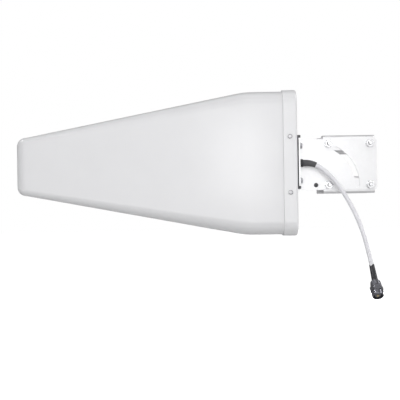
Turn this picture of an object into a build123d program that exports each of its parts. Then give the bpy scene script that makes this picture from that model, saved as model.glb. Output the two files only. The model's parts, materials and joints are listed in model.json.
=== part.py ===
from build123d import *
import math
import os

# A directional panel antenna: a tapered white radome over two dipole combs, a rear cap,
# a sheet bracket with a tilt slot, a two-jaw clamp and a cable with its jack.
# Millimetres. The clamp's bore runs along Z through the origin, the antenna points along -X,
# and the side with the clamp nuts faces -Y.

# Clamp
mast_r = 25.0
sheet = 2.0
seat_gap = 11.0
jaw_half_width = 37.4
jaw_height = 24.5
jaw_z = 30.0
jaw_opening = 26.0
jaw_corner = 5.0
bend_r = 1.5
bolt_d = 6.0
bolt_play = 0.5
bolt_tip_chamfer = 0.7
bolt_x = 30.0
washer_d = 12.0
washer_t = 1.6
spring_washer_d = 10.6
spring_washer_t = 1.6
spring_slit = 1.0
nut_flats = 10.0
nut_h = 5.0
hex_corner_d = 1.12
hex_corner_chamfer = 0.06
head_h = 4.0
bolt_past_nut = 4.0

# Tilt bracket
cheek_right = 40.6
cheek_height = 74.0
cheek_corner = 3.0
pivot_x = -48.5
pivot_z = -30.0
slot_r = 60.0
slot_angle_low = -0.8
slot_angle_high = 61.0
slot_play = 0.8
flange_x = -76.2
flange_width = 49.0
flange_height = 67.5
flange_rise = 0.8
bracket_bend = 2.5

# Gasket between the flange and the rear cap
gasket_t = 2.4
gasket_lip = 4.0
gasket_over = 0.6
gasket_setback = 4.0
gasket_inset = 3.0
gasket_edge_r = 0.8

# Antenna axis
axis_y = -62.0
axis_z = 1.5

# Rear cap
cap_length = 20.0
cap_wall = 4.0
cap_skirt = 2.0
cap_edge = 3.0
cap_lip_chamfer = 0.7
skirt_play = 0.2
cap_screw_z = 39.0
cap_screw_drop = 2.7
cap_screw_back = 10.4
cap_screw_d = 3.0
cap_screw_head_d = 6.4
cap_screw_head_h = 1.8
cap_screw_slot = 0.9
cap_screw_slot_deep = 0.7
cap_screw_grip = 7.0
dome_share = 0.6

# Radome
radome_height = 202.0
radome_depth = 60.0
radome_corner = 19.0
radome_wall = 2.6
radome_tip_x = -477.0
radome_straight = 53.0
tip_height = 83.4
tip_depth = 27.0
tip_corner = 9.0
tip_end_corner = 4.2
tip_run = 14.0
tip_round_height = 11.0
tip_round_depth = 7.5
tip_steps = 6
shoulder_r = 130.0
shoulder_steps = 4
seal_t = 1.5

# Dipole combs
boom_gap = 8.0
boom_t = 1.5
boom_width = 16.0
boom_end_x = -455.0
root_height = 32.0
root_length = 9.0
root_notch = 8.0
notch_past_root = 4.0
longest_arm = 96.0
arm_ratio = 0.88
arm_count = 11
first_arm_x = -112.0
arm_step = 55.7
arm_width = 6.0
arm_width_ratio = 0.95
arm_end_r = 1.2

# Boom carrier inside the cap
carrier_t = 5.0
carrier_side_gap = 5.2
carrier_corner = 4.0
lug_height = 12.0
lug_past_screw = 0.3
lug_depth = 11.4
lug_play = 0.2
lug_root = 2.0
tongue_inner = 5.0
tongue_rib = 3.0
root_front_gap = 6.8

# Boom screws, nuts and spacers
boom_screw_d = 3.0
boom_screw_play = 0.2
boom_head_d = 5.6
boom_head_h = 2.0
boom_cross = 3.2
boom_cross_width = 0.7
boom_cross_deep = 0.9
boom_nut_flats = 5.5
boom_nut_h = 2.4
nut_play = 0.25
boom_screw_end = 1.0
root_screw_x = -102.5
root_screw_z = 10.5
spacer_d = 8.0
spacer_x = [-140.0, -278.0, -372.0]

# Foam pads between the combs and the radome walls
pad_x = [-236.0, -402.0]
pad_length = 16.0
groove_play = 0.2

# Flange bolts
flange_bolt_d = 5.0
flange_bolt_play = 0.4
flange_bolt_side = 11.0
flange_bolt_edge = 9.25
flange_bolt_drop = 0.7
flange_washer_d = 11.4
flange_washer_t = 1.2
flange_head_flats = 8.0
flange_head_h = 2.8
flange_nut_h = 4.0
flange_bolt_end = 1.5

# Cable, gland and inner coax
cable_d = 6.1
cable_bend_share = 0.45
gland_collar_d = 11.4
gland_collar_l = 6.6
gland_collar_chamfer = 0.6
gland_shank_d = 9.0
gland_play = 0.2
gland_nut_flats = 13.0
gland_nut_h = 4.0
gland_shank_past = 0.8
nut_pocket_d = 16.0
boot_root_d = 9.6
boot_mouth_d = 7.8
boot_length = 18.5
cable_start_x = -78.0
ferrule_l = 12.0
coax_d = 3.6
coax_bend_r = 9.0
coax_sweep_from = -94.0
coax_sweep_to = -109.6
clip_x = [-190.0, -320.0, -420.0]
clip_width = 6.0
clip_height = 12.0
clip_wall = 1.6
link_t = 0.8
link_width = 3.0
link_reach = 3.0
link_foot = 7.0

# Jack at the cable's end
jack_boot_l = 29.0
jack_boot_top_d = 7.2
jack_boot_d = 8.8
jack_collar_d = 13.8
jack_collar_front_d = 15.4
jack_collar_l = 7.4
jack_neck_d = 12.4
jack_neck_l = 1.2
jack_hex_flats = 16.0
jack_hex_l = 8.2
jack_barrel_d = 15.8
jack_barrel_l = 7.2
jack_groove = 0.6
jack_chamfer = 0.8
jack_rim_chamfer = 0.5
jack_bore_d = 12.6
jack_bore_l = 7.0
insulator_d = 9.4
insulator_l = 7.8
insulator_foot = 2.6
insulator_chamfer = 0.4
contact_d = 3.2
contact_bore_d = 1.7
contact_bore_l = 4.4
contact_l = 8.6
contact_slit = 0.4
contact_slit_l = 3.2

# Cable route from inside the gland to the back of the jack, chosen by hand
cable_route = [
    (cable_start_x, axis_y, axis_z),
    (-55.0, axis_y, axis_z),
    (-36.0, -62.8, -11.5),
    (-19.0, -64.3, -31.0),
    (-3.0, -66.0, -58.0),
    (10.2, -71.3, -88.7),
    (18.1, -91.0, -129.8),
    (19.0, -122.0, -164.2),
]

# Places that follow from the sizes above
web_y = mast_r + seat_gap
cheek_y = web_y + 2 * sheet
flange_face_x = flange_x - sheet
cap_back_x = flange_face_x - gasket_t
cap_inner_x = cap_back_x - cap_wall
cap_front_x = cap_back_x - cap_length
radome_rear_x = cap_inner_x - seal_t
shoulder_x = cap_front_x - radome_straight
carrier_x = cap_inner_x - carrier_t
cap_screw_x = cap_back_x - cap_screw_back
root_x = carrier_x - root_front_gap
comb_face = boom_gap / 2 + boom_t
coax_y = comb_face + coax_d / 2
spacer_shift = coax_d / 2 + boom_nut_flats / 2 + nut_play
taper_run = shoulder_x - radome_tip_x - tip_run
taper = math.atan((radome_height - tip_height) / 2 / taper_run)
depth_taper = math.atan((radome_depth - tip_depth) / 2 / taper_run)
flange_z = axis_z + flange_rise


def section(x, height, depth, corner):
    """A rounded rectangle across the antenna axis at x."""
    plane = Plane(origin=(x, axis_y, axis_z), x_dir=(0, 1, 0), z_dir=(1, 0, 0))
    return plane * RectangleRounded(depth, height, corner)


def rod_x(x0, x1, d, y=axis_y, z=axis_z):
    """A round bar along X between two places."""
    plane = Plane(origin=(x0, y, z), x_dir=(0, 1, 0), z_dir=(1, 0, 0))
    return extrude(plane * Circle(d / 2), amount=x1 - x0)


def rod_y(x, z, y0, y1, d):
    """A round bar along Y between two places."""
    plane = Plane(origin=(x, y0, z), x_dir=(1, 0, 0), z_dir=(0, 1, 0))
    return extrude(plane * Circle(d / 2), amount=y1 - y0)


def hexagon_y(x, z, y0, y1, flats):
    """A hexagonal bar along Y between two places, with its corners broken."""
    plane = Plane(origin=(x, y0, z), x_dir=(1, 0, 0), z_dir=(0, 1, 0))
    bar = extrude(plane * RegularPolygon(flats / 2, 6, major_radius=False), amount=y1 - y0)
    return bar & turned_disc(plane, flats * hex_corner_d, y1 - y0, flats * hex_corner_chamfer)


def hexagon_x(y, z, x0, x1, flats):
    """A hexagonal bar along X between two places, with its corners broken."""
    plane = Plane(origin=(x0, y, z), x_dir=(0, 1, 0), z_dir=(1, 0, 0))
    bar = extrude(plane * RegularPolygon(flats / 2, 6, major_radius=False), amount=x1 - x0)
    return bar & turned_disc(plane, flats * hex_corner_d, x1 - x0, flats * hex_corner_chamfer)


def turned_disc(plane, d, length, break_edge):
    """A disc with both rims chamfered, to round off a hexagon's corners."""
    disc = extrude(plane * Circle(d / 2), amount=length)
    return chamfer(disc.edges().filter_by(GeomType.CIRCLE), break_edge)


def ring_y(x, z, y0, y1, outer, inner):
    """A flat ring across Y."""
    return rod_y(x, z, y0, y1, outer) - rod_y(x, z, y0, y1, inner)


def block(x0, x1, y0, y1, z0, z1):
    """A box between six faces."""
    return Pos((x0 + x1) / 2, (y0 + y1) / 2, (z0 + z1) / 2) * Box(abs(x1 - x0), abs(y1 - y0), abs(z1 - z0))


def radome_form(inset, open_x):
    """The radome's outer form, or its hollow when it is inset by the wall."""
    run = shoulder_r * math.tan(taper / 2)
    sections = [section(open_x, radome_height - 2 * inset, radome_depth - 2 * inset, radome_corner - inset)]
    for step in range(shoulder_steps + 1):
        turn = taper * step / shoulder_steps
        x = shoulder_x + run - shoulder_r * math.sin(turn)
        drop = shoulder_r * (1 - math.cos(turn))
        depth_drop = drop * math.tan(depth_taper) / math.tan(taper)
        corner = radome_corner - (radome_corner - tip_corner) * drop * 2 / (radome_height - tip_height)
        height = radome_height - 2 * (inset + drop)
        sections.append(section(x, height, radome_depth - 2 * (inset + depth_drop), corner - inset))
    return loft(sections + tip_sections(inset), ruled=True)


def tip_sections(inset):
    """Sections of the domed tip, from the end of the taper to the tip's flat."""
    sections = []
    for step in range(tip_steps + 1):
        turn = math.pi / 2 * step / tip_steps
        shrink = 1 - math.cos(turn)
        x = radome_tip_x + tip_run - (tip_run - inset) * math.sin(turn)
        height = tip_height - 2 * inset - 2 * (tip_round_height - inset) * shrink
        depth = tip_depth - 2 * inset - 2 * (tip_round_depth - inset) * shrink
        corner = tip_corner - inset - (tip_corner - tip_end_corner) * shrink
        sections.append(section(x, height, depth, corner))
    return sections


def cap_screw_places():
    """Side and height of the screws that hold the cap, carrier and radome together."""
    middle = axis_z - cap_screw_drop
    return [(side, middle + up * cap_screw_z) for side in (-1, 1) for up in (-1, 1)]


def make_radome():
    """The tapered shell, open at its rear, with four screw holes."""
    shell = radome_form(0, radome_rear_x) - radome_form(radome_wall, radome_rear_x)
    for side, z in cap_screw_places():
        face = axis_y + side * radome_depth / 2
        shell -= rod_y(cap_screw_x, z, face - side * 2 * radome_wall, face + side * radome_wall, cap_screw_d)
    return shell


def make_cap():
    """The rear cap: an end wall with a skirt round the radome and the holes for gland and bolts."""
    height = radome_height + 2 * cap_skirt
    depth = radome_depth + 2 * cap_skirt
    corner = radome_corner + cap_skirt
    cap = extrude(section(cap_front_x, height, depth, corner), amount=cap_length)
    cap = fillet(cap.faces().sort_by(Axis.X)[-1].edges(), cap_edge)
    cap = chamfer(cap.faces().sort_by(Axis.X)[0].edges(), cap_lip_chamfer)
    recess = section(
        cap_front_x, radome_height + 2 * skirt_play, radome_depth + 2 * skirt_play, radome_corner + skirt_play
    )
    cap -= extrude(recess, amount=cap_length - cap_wall)
    for side, z in cap_screw_places():
        face = axis_y + side * depth / 2
        cap -= rod_y(cap_screw_x, z, face - side * 2 * cap_skirt, face, cap_screw_d)
    cap -= rod_x(cap_inner_x, cap_back_x, gland_shank_d + gland_play)
    return cap - flange_bolt_holes(cap_inner_x, cap_back_x)


def make_cap_seal():
    """The rubber ring between the radome's rear edge and the cap's end wall."""
    both = 2 * radome_wall
    outer = section(radome_rear_x, radome_height, radome_depth, radome_corner)
    inner = section(radome_rear_x, radome_height - both, radome_depth - both, radome_corner - radome_wall)
    return extrude(outer, amount=seal_t) - extrude(inner, amount=seal_t)


def make_cap_screws():
    """Four domed screws with a slot, through the skirt and radome into the carrier's lugs."""
    screws = []
    for side, z in cap_screw_places():
        face = axis_y + side * (radome_depth / 2 + cap_skirt)
        end = face - side * (cap_skirt + radome_wall + cap_screw_grip)
        shank = rod_y(cap_screw_x, z, face, end, cap_screw_d)
        head = rod_y(cap_screw_x, z, face, face + side * cap_screw_head_h, cap_screw_head_d)
        rim = head.edges().filter_by(GeomType.CIRCLE).sort_by(Axis.Y)[-1 if side > 0 else 0]
        head = fillet(rim, cap_screw_head_h * dome_share)
        top = face + side * cap_screw_head_h
        floor = top - side * cap_screw_slot_deep
        reach = cap_screw_head_d / 2
        half = cap_screw_slot / 2
        slot = block(cap_screw_x - reach, cap_screw_x + reach, floor, top, z - half, z + half)
        screws.append(shank + head - slot)
    return screws


def arm_places():
    """Place along the axis, half length and width of each pair of arms."""
    places = []
    x = first_arm_x
    for n in range(arm_count):
        shrink = arm_ratio ** n
        places.append((x, longest_arm * shrink, arm_width * arm_width_ratio ** n))
        x -= arm_step * shrink
    return places


def make_comb(side):
    """One stamped comb of arms that point up and down in turn. The other side's arms point the other way."""
    plane = Plane(origin=(0, axis_y, axis_z), x_dir=(1, 0, 0), z_dir=(0, -1, 0))
    front = root_x - root_length
    outline = Pos((front + boom_end_x) / 2, 0) * Rectangle(front - boom_end_x, boom_width)
    outline += Pos(root_x - root_length / 2, 0) * Rectangle(root_length, root_height)
    for n, (x, reach, width) in enumerate(arm_places()):
        up = side if n % 2 == 0 else -side
        arm = Pos(x, up * reach / 2) * Rectangle(width, reach)
        ends = arm.vertices().sort_by(Axis.Y)
        outline += fillet(ends[-2:] if up > 0 else ends[:2], arm_end_r)
    notch = root_length + notch_past_root
    outline -= Pos(root_x - notch / 2, 0) * Rectangle(notch, root_notch)
    comb = extrude(plane * outline, amount=boom_t / 2, both=True)
    comb = Pos(0, side * (boom_gap + boom_t) / 2, 0) * comb
    for x, z in boom_screw_places():
        comb -= rod_y(x, z, axis_y - comb_face, axis_y + comb_face, boom_screw_d + boom_screw_play)
    return comb


def boom_screw_places():
    """Where the screws pass through both combs: two at the root and one in each spacer."""
    roots = [(root_screw_x, axis_z + up * root_screw_z) for up in (-1, 1)]
    return roots + [(x, axis_z - spacer_shift) for x in spacer_x]


def make_spacers():
    """Nylon tubes that hold the combs apart."""
    z = axis_z - spacer_shift
    half = boom_gap / 2
    return [
        ring_y(x, z, axis_y - half, axis_y + half, spacer_d, boom_screw_d + boom_screw_play) for x in spacer_x
    ]


def make_boom_screws():
    """Pan-head screws through the combs, with a cross slot in each head."""
    screws = []
    for x, z in boom_screw_places():
        seat = axis_y - comb_face
        end = axis_y + comb_face + boom_nut_h + boom_screw_end
        head = rod_y(x, z, seat - boom_head_h, seat, boom_head_d)
        head = fillet(head.edges().filter_by(GeomType.CIRCLE).sort_by(Axis.Y)[0], boom_head_h * dome_share)
        top = seat - boom_head_h
        long, wide = boom_cross / 2, boom_cross_width / 2
        slot = block(x - long, x + long, top, top + boom_cross_deep, z - wide, z + wide)
        slot += block(x - wide, x + wide, top, top + boom_cross_deep, z - long, z + long)
        screws.append(head - slot + rod_y(x, z, seat, end, boom_screw_d))
    return screws


def make_boom_nuts():
    """Nuts on the far side of the combs."""
    seat = axis_y + comb_face
    nuts = []
    for x, z in boom_screw_places():
        nut = hexagon_y(x, z, seat, seat + boom_nut_h, boom_nut_flats)
        nuts.append(nut - rod_y(x, z, seat, seat + boom_nut_h, boom_screw_d))
    return nuts


def make_carrier():
    """The plastic carrier behind the cap's end wall, with screw lugs and two tongues for the combs."""
    reach = radome_depth / 2 - radome_wall - lug_play
    height = 2 * (cap_screw_z + cap_screw_drop + lug_height / 2 + lug_past_screw)
    plate = section(carrier_x, height, 2 * (reach - carrier_side_gap), carrier_corner)
    carrier = extrude(plate, amount=carrier_t)
    for side, z in cap_screw_places():
        inner = axis_y + side * (reach - cap_screw_grip - lug_root)
        outer = axis_y + side * reach
        half = lug_height / 2
        carrier += block(cap_inner_x - lug_depth, cap_inner_x, inner, outer, z - half, z + half)
    front = root_x - root_length
    rib_end = (root_x + carrier_x) / 2
    thick = boom_gap / 2 + tongue_rib
    for up in (-1, 1):
        low = axis_z + up * tongue_inner
        high = axis_z + up * root_height / 2
        carrier += block(front, carrier_x, axis_y - boom_gap / 2, axis_y + boom_gap / 2, low, high)
        carrier += block(rib_end, carrier_x, axis_y - thick, axis_y + thick, low, high)
    for side, z in cap_screw_places():
        face = axis_y + side * reach
        carrier -= rod_y(cap_screw_x, z, face - side * (cap_screw_grip - lug_play), face, cap_screw_d)
    for x, z in boom_screw_places()[:2]:
        carrier -= rod_y(x, z, axis_y - boom_gap, axis_y + boom_gap, boom_screw_d + boom_screw_play)
    carrier -= rod_x(carrier_x - lug_depth, carrier_x, nut_pocket_d)
    carrier -= rod_x(carrier_x, cap_inner_x, gland_shank_d + gland_play)
    return carrier - flange_bolt_holes(carrier_x, cap_inner_x)


def make_pads():
    """Foam pads that fill the space from the combs' faces to the tapering radome walls."""
    hollow = radome_form(radome_wall, radome_rear_x)
    half = boom_width / 2
    groove = coax_d / 2 + groove_play
    groove_floor = axis_y + comb_face + coax_d + groove_play
    pads = []
    for x in pad_x:
        front, back = x - pad_length, x
        slab = block(front, back, axis_y - radome_depth, axis_y + radome_depth, axis_z - half, axis_z + half)
        slab -= block(front, back, axis_y - comb_face, axis_y + comb_face, axis_z - half, axis_z + half)
        slab -= block(front, back, axis_y + comb_face, groove_floor, axis_z - groove, axis_z + groove)
        pads.extend((slab & hollow).solids())
    return pads


def flange_bolt_places():
    """Side and height of the four bolts through flange, gasket, cap and carrier."""
    middle = axis_z - flange_bolt_drop
    side = flange_width / 2 - flange_bolt_side
    rise = flange_height / 2 - flange_bolt_edge
    return [(axis_y + across * side, middle + up * rise) for across in (-1, 1) for up in (-1, 1)]


def flange_bolt_holes(x0, x1):
    """Clearance holes for the flange bolts between two places along X."""
    holes = [rod_x(x0, x1, flange_bolt_d + flange_bolt_play, y, z) for y, z in flange_bolt_places()]
    return holes[0] + holes[1] + holes[2] + holes[3]


def make_gasket():
    """The black pad under the flange, with a lip over the flange's top and bottom edges."""
    near = axis_y - flange_width / 2
    far = -cheek_y - gasket_setback + sheet
    half = flange_height / 2
    pad = block(cap_back_x, flange_face_x, near + gasket_inset, far, flange_z - half, flange_z + half)
    for up in (-1, 1):
        edge = flange_z + up * half
        pad += block(cap_back_x, flange_x + gasket_over, near, far, edge, edge + up * gasket_lip)
    pad = fillet(pad.edges().filter_by(Axis.Y).group_by(Axis.X)[-1], gasket_edge_r)
    pad -= rod_x(cap_back_x, flange_face_x, gland_shank_d + gland_play)
    return pad - flange_bolt_holes(cap_back_x, flange_face_x)


def bracket_profile():
    """The bracket's bent strip seen from above: the flange, the bend and the cheek."""
    near = axis_y - flange_width / 2
    line = FilletPolyline(
        (flange_x - sheet / 2, near, 0),
        (flange_x - sheet / 2, -cheek_y + sheet / 2, 0),
        (cheek_right, -cheek_y + sheet / 2, 0),
        radius=bracket_bend + sheet / 2,
    )
    return trace(line, sheet)


def slot_cutter():
    """The arc slot round the pivot hole, with rounded ends."""
    plane = Plane(origin=(pivot_x, -cheek_y, pivot_z), x_dir=(1, 0, 0), z_dir=(0, -1, 0))
    arc = CenterArc((0, 0), slot_r, slot_angle_low, slot_angle_high - slot_angle_low)
    width = bolt_d + slot_play
    shape = trace(arc, width)
    for end in (arc @ 0, arc @ 1):
        shape += Pos(end.X, end.Y) * Circle(width / 2)
    return extrude(plane * shape, amount=2 * sheet, both=True)


def make_bracket():
    """The folded bracket with its holes and its arc slot."""
    half = cheek_height / 2
    bracket = extrude(Pos(0, 0, -half) * bracket_profile(), amount=cheek_height)
    inner = flange_x + bracket_bend
    for low, high in ((flange_z + flange_height / 2, 2 * half), (-2 * half, flange_z - flange_height / 2)):
        bracket -= block(flange_face_x, inner, axis_y - flange_width, -cheek_y + sheet, low, high)
    corners = bracket.edges().filter_by(Axis.Y).group_by(Axis.X)[-1]
    bracket = fillet(corners, cheek_corner)
    for x, z in clamp_bolt_places() + [(pivot_x, pivot_z)]:
        bracket -= rod_y(x, z, -cheek_y, -cheek_y + sheet, bolt_d + bolt_play)
    bracket -= slot_cutter()
    bracket -= rod_x(flange_face_x, flange_x, gland_shank_d + gland_play)
    return bracket - flange_bolt_holes(flange_face_x, flange_x)


def make_flange_bolts():
    """Hexagon bolts from the flange into the nuts behind the carrier."""
    bolts = []
    seat = flange_x + flange_washer_t
    end = carrier_x - flange_nut_h - flange_bolt_end
    for y, z in flange_bolt_places():
        head = hexagon_x(y, z, seat, seat + flange_head_h, flange_head_flats)
        bolts.append(head + rod_x(end, seat, flange_bolt_d, y, z))
    return bolts


def make_flange_washers():
    """Flat washers under the flange bolts' heads."""
    end = flange_x + flange_washer_t
    discs = [rod_x(flange_x, end, flange_washer_d, y, z) for y, z in flange_bolt_places()]
    return [disc - flange_bolt_holes(flange_x, end) for disc in discs]


def make_flange_nuts():
    """Nuts on the carrier's inner face."""
    nuts = []
    for y, z in flange_bolt_places():
        nut = hexagon_x(y, z, carrier_x - flange_nut_h, carrier_x, flange_head_flats)
        nuts.append(nut - rod_x(carrier_x - flange_nut_h, carrier_x, flange_bolt_d, y, z))
    return nuts


def clamp_bolt_places():
    """Place of the four clamp bolts round the bore."""
    return [(x, z) for x in (-bolt_x, bolt_x) for z in (-jaw_z, jaw_z)]


def make_jaw(side, z):
    """A folded jaw: a web across the bolts and two flanges with round seats for the bore."""
    edge = side * jaw_opening / 2
    half = jaw_height / 2 - sheet / 2
    back = side * (web_y + sheet / 2)
    line = FilletPolyline(
        (0, edge, z - half), (0, back, z - half), (0, back, z + half), (0, edge, z + half),
        radius=bend_r + sheet / 2,
    )
    profile = sweep_profile(line)
    jaw = extrude(profile, amount=jaw_half_width, both=True)
    jaw -= Pos(0, 0, z) * Cylinder(mast_r, 2 * jaw_height)
    for end in (-1, 1):
        diamond = Rectangle(2 * jaw_corner, 2 * jaw_corner, rotation=45)
        corner = Plane(origin=(end * jaw_half_width, edge, z)) * diamond
        jaw -= extrude(corner, amount=jaw_height, both=True)
    for x in (-bolt_x, bolt_x):
        jaw -= rod_y(x, z, back - 2 * sheet, back + 2 * sheet, bolt_d + bolt_play)
    return jaw


def sweep_profile(line):
    """A strip of the sheet's thickness along a line in the YZ plane."""
    plane = Plane(origin=(0, 0, 0), x_dir=(0, 1, 0), z_dir=(1, 0, 0))
    flat = plane.to_local_coords(line)
    return plane * trace(flat, sheet)


def make_clamp_bolts():
    """Long bolts through both pairs of jaws and the cheek, heads on the far side."""
    bolts = []
    seat = web_y + sheet + washer_t
    end = -(cheek_y + washer_t + spring_washer_t + nut_h + bolt_past_nut)
    for x, z in clamp_bolt_places():
        shank = rod_y(x, z, end, seat, bolt_d)
        shank = chamfer(shank.edges().filter_by(GeomType.CIRCLE).sort_by(Axis.Y)[0], bolt_tip_chamfer)
        bolts.append(shank + hexagon_y(x, z, seat, seat + head_h, nut_flats))
    return bolts


def make_clamp_washers():
    """Flat washers under the bolt heads and on the cheek."""
    far = web_y + sheet
    washers = []
    for x, z in clamp_bolt_places():
        washers.append(ring_y(x, z, -cheek_y - washer_t, -cheek_y, washer_d, bolt_d + bolt_play))
        washers.append(ring_y(x, z, far, far + washer_t, washer_d, bolt_d + bolt_play))
    return washers


def make_spring_washers():
    """Split washers under the nuts."""
    near = -cheek_y - washer_t - spring_washer_t
    rings = []
    for x, z in clamp_bolt_places():
        ring = ring_y(x, z, near, near + spring_washer_t, spring_washer_d, bolt_d + bolt_play)
        half = spring_slit / 2
        rings.append(ring - block(x, x + washer_d, near, near + spring_washer_t, z - half, z + half))
    return rings


def make_clamp_nuts():
    """Nuts on the near side."""
    top = -cheek_y - washer_t - spring_washer_t
    nuts = []
    for x, z in clamp_bolt_places():
        nut = hexagon_y(x, z, top - nut_h, top, nut_flats)
        nuts.append(nut - rod_y(x, z, top - nut_h, top, bolt_d))
    return nuts


def make_gland():
    """The gland: a collar on the flange and a hollow shank through to the nut inside."""
    end = carrier_x - gland_nut_h - gland_shank_past
    collar = rod_x(flange_x, flange_x + gland_collar_l, gland_collar_d)
    collar = chamfer(collar.edges().filter_by(GeomType.CIRCLE).sort_by(Axis.X)[-1], gland_collar_chamfer)
    gland = collar + rod_x(end, flange_x, gland_shank_d)
    return gland - rod_x(end, flange_x + gland_collar_l, cable_d)


def make_gland_nut():
    """The nut that holds the gland behind the carrier."""
    nut = hexagon_x(axis_y, axis_z, carrier_x - gland_nut_h, carrier_x, gland_nut_flats)
    return nut - rod_x(carrier_x - gland_nut_h, carrier_x, gland_shank_d)


def cable_path():
    """The cable's line: straight runs joined by tangent arcs as large as the runs allow."""
    corners = [Vector(*point) for point in cable_route]
    runs = [b - a for a, b in zip(corners, corners[1:])]
    radii = []
    for a, b in zip(runs, runs[1:]):
        turn = math.radians(a.get_angle(b))
        radii.append(cable_bend_share * min(a.length, b.length) / math.tan(turn / 2))
    print("cable radii", [round(radius, 1) for radius in radii])
    return FilletPolyline(*corners, radius=radii)


def make_cable(path):
    """The cable as a plain tube along its line."""
    start = Plane(origin=path @ 0, z_dir=path % 0)
    cable = sweep(start * Circle(cable_d / 2), path=path)
    ratio = cable.volume / (math.pi * cable_d ** 2 / 4 * path.length)
    print("cable length", round(path.length, 1), "volume over section times length", round(ratio, 5))
    return cable


def sleeve(path, cable, start, length, first_d, last_d):
    """A tapering tube round the cable, from a distance along its line."""
    guide = path.trim(start / path.length, (start + length) / path.length)
    first = Plane(origin=guide @ 0, z_dir=guide % 0) * Circle(first_d / 2)
    last = Plane(origin=guide @ 1, z_dir=guide % 1) * Circle(last_d / 2)
    return sweep([first, last], path=guide, multisection=True) - cable


def make_gland_boot(path, cable):
    """The rubber boot that bends with the cable where it leaves the gland."""
    start = flange_x + gland_collar_l - cable_start_x
    return sleeve(path, cable, start, boot_length, boot_root_d, boot_mouth_d)


def make_ferrule():
    """The brass sleeve inside the gland where the cable's jacket ends and the thin coax begins."""
    end = cable_start_x - ferrule_l
    return rod_x(end, cable_start_x, cable_d) - rod_x(end, cable_start_x, coax_d)


def make_feed_coax():
    """The thin coax from the ferrule along the far comb to its tip."""
    middle = (coax_sweep_from + coax_sweep_to) / 2
    reach = (coax_sweep_from - coax_sweep_to) / 3
    side = axis_y + coax_y
    path = FilletPolyline(
        (cable_start_x, axis_y, axis_z),
        (middle + reach, axis_y, axis_z),
        (middle - reach, side, axis_z),
        (boom_end_x, side, axis_z),
        radius=coax_bend_r,
    )
    start = Plane(origin=path @ 0, z_dir=path % 0)
    return sweep(start * Circle(coax_d / 2), path=path)


def make_clips():
    """Nylon saddles that hold the coax on the far comb."""
    clips = []
    face = axis_y + comb_face
    for x in clip_x:
        half = clip_height / 2
        clip = block(x - clip_width, x, face, face + coax_d + clip_wall, axis_z - half, axis_z + half)
        clip = chamfer(clip.edges().filter_by(Axis.X).group_by(Axis.Y)[-1], clip_wall)
        middle, half = axis_y + coax_y, coax_d / 2
        channel = rod_x(x - clip_width, x, coax_d, middle, axis_z)
        channel += block(x - clip_width, x, face, middle, axis_z - half, axis_z + half)
        clips.append(clip - channel)
    return clips


def make_link():
    """The brass strip that carries the coax's core round the tip to the near comb."""
    half = link_width / 2
    near = axis_y - comb_face
    far = axis_y + coax_y
    front = boom_end_x - link_reach
    strip = block(front, boom_end_x + link_foot, near - link_t, near, axis_z - half, axis_z + half)
    strip += block(front, front + link_t, near - link_t, far + link_t, axis_z - half, axis_z + half)
    return strip + block(front, boom_end_x, far - link_t / 2, far + link_t / 2, axis_z - half, axis_z + half)


def jack_frame(path):
    """A frame at the jack's back, with its Z axis along the jack."""
    return Plane(origin=path @ 1, z_dir=path % 1)


def bar(frame, start, length, d):
    """A round bar along the jack's axis."""
    return extrude(frame.offset(start) * Circle(d / 2), amount=length)


def make_jack_boot(path, cable):
    """The heat-shrink sleeve over the cable's end."""
    return sleeve(path, cable, path.length - jack_boot_l, jack_boot_l, jack_boot_top_d, jack_boot_d)


def make_jack_body(frame):
    """The jack's turned body: tapered collar, neck, hexagon and barrel with its socket."""
    collar = Cone(jack_collar_d / 2, jack_collar_front_d / 2, jack_collar_l)
    body = frame * Pos(0, 0, jack_collar_l / 2) * collar
    body = chamfer(body.edges().filter_by(GeomType.CIRCLE), jack_chamfer)
    hex_at = jack_collar_l + jack_neck_l
    body += bar(frame, 0, hex_at, jack_neck_d)
    flats = frame.offset(hex_at) * RegularPolygon(jack_hex_flats / 2, 6, major_radius=False)
    corners = jack_hex_flats * hex_corner_d
    round_off = turned_disc(frame.offset(hex_at), corners, jack_hex_l, jack_hex_flats * hex_corner_chamfer)
    body += extrude(flats, amount=jack_hex_l) & round_off
    barrel_at = hex_at + jack_hex_l
    body += bar(frame, hex_at, jack_hex_l + jack_groove, jack_barrel_d - 2 * jack_groove)
    barrel = bar(frame, barrel_at + jack_groove, jack_barrel_l - jack_groove, jack_barrel_d)
    body += chamfer(barrel.edges().filter_by(GeomType.CIRCLE), jack_rim_chamfer)
    body -= bar(frame, jack_end() - jack_bore_l, jack_bore_l, jack_bore_d)
    return body - bar(frame, insulator_at(), insulator_foot, insulator_d)


def jack_end():
    """The jack's length from its back to its open end."""
    return jack_collar_l + jack_neck_l + jack_hex_l + jack_barrel_l


def insulator_at():
    """Where the insulator and the contact start, from the jack's back."""
    return jack_end() - jack_bore_l - insulator_foot


def make_insulator(frame):
    """The insulator in the jack's socket, hollow for the contact."""
    rod = bar(frame, insulator_at(), insulator_l, insulator_d)
    rod = chamfer(rod.edges().filter_by(GeomType.CIRCLE).sort_by(Axis.Z)[0], insulator_chamfer)
    return rod - bar(frame, insulator_at(), insulator_l, contact_d)


def make_contact(frame):
    """The gilt centre contact: a slit tube in the insulator."""
    end = insulator_at() + contact_l
    pin = bar(frame, insulator_at(), contact_l, contact_d)
    pin -= bar(frame, end - contact_bore_l, contact_bore_l, contact_bore_d)
    slit = frame.offset(end - contact_slit_l) * Rectangle(contact_d, contact_slit)
    return pin - extrude(slit, amount=contact_slit_l)


def write(name, shape):
    """Save one sub-part, or a group of like pieces, under its name."""
    group = shape if isinstance(shape, list) else [shape]
    solids = [solid for item in group for solid in item.solids()]
    export_step(solids[0] if len(solids) == 1 else Compound(children=solids), f"parts/{name}.step")


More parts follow.
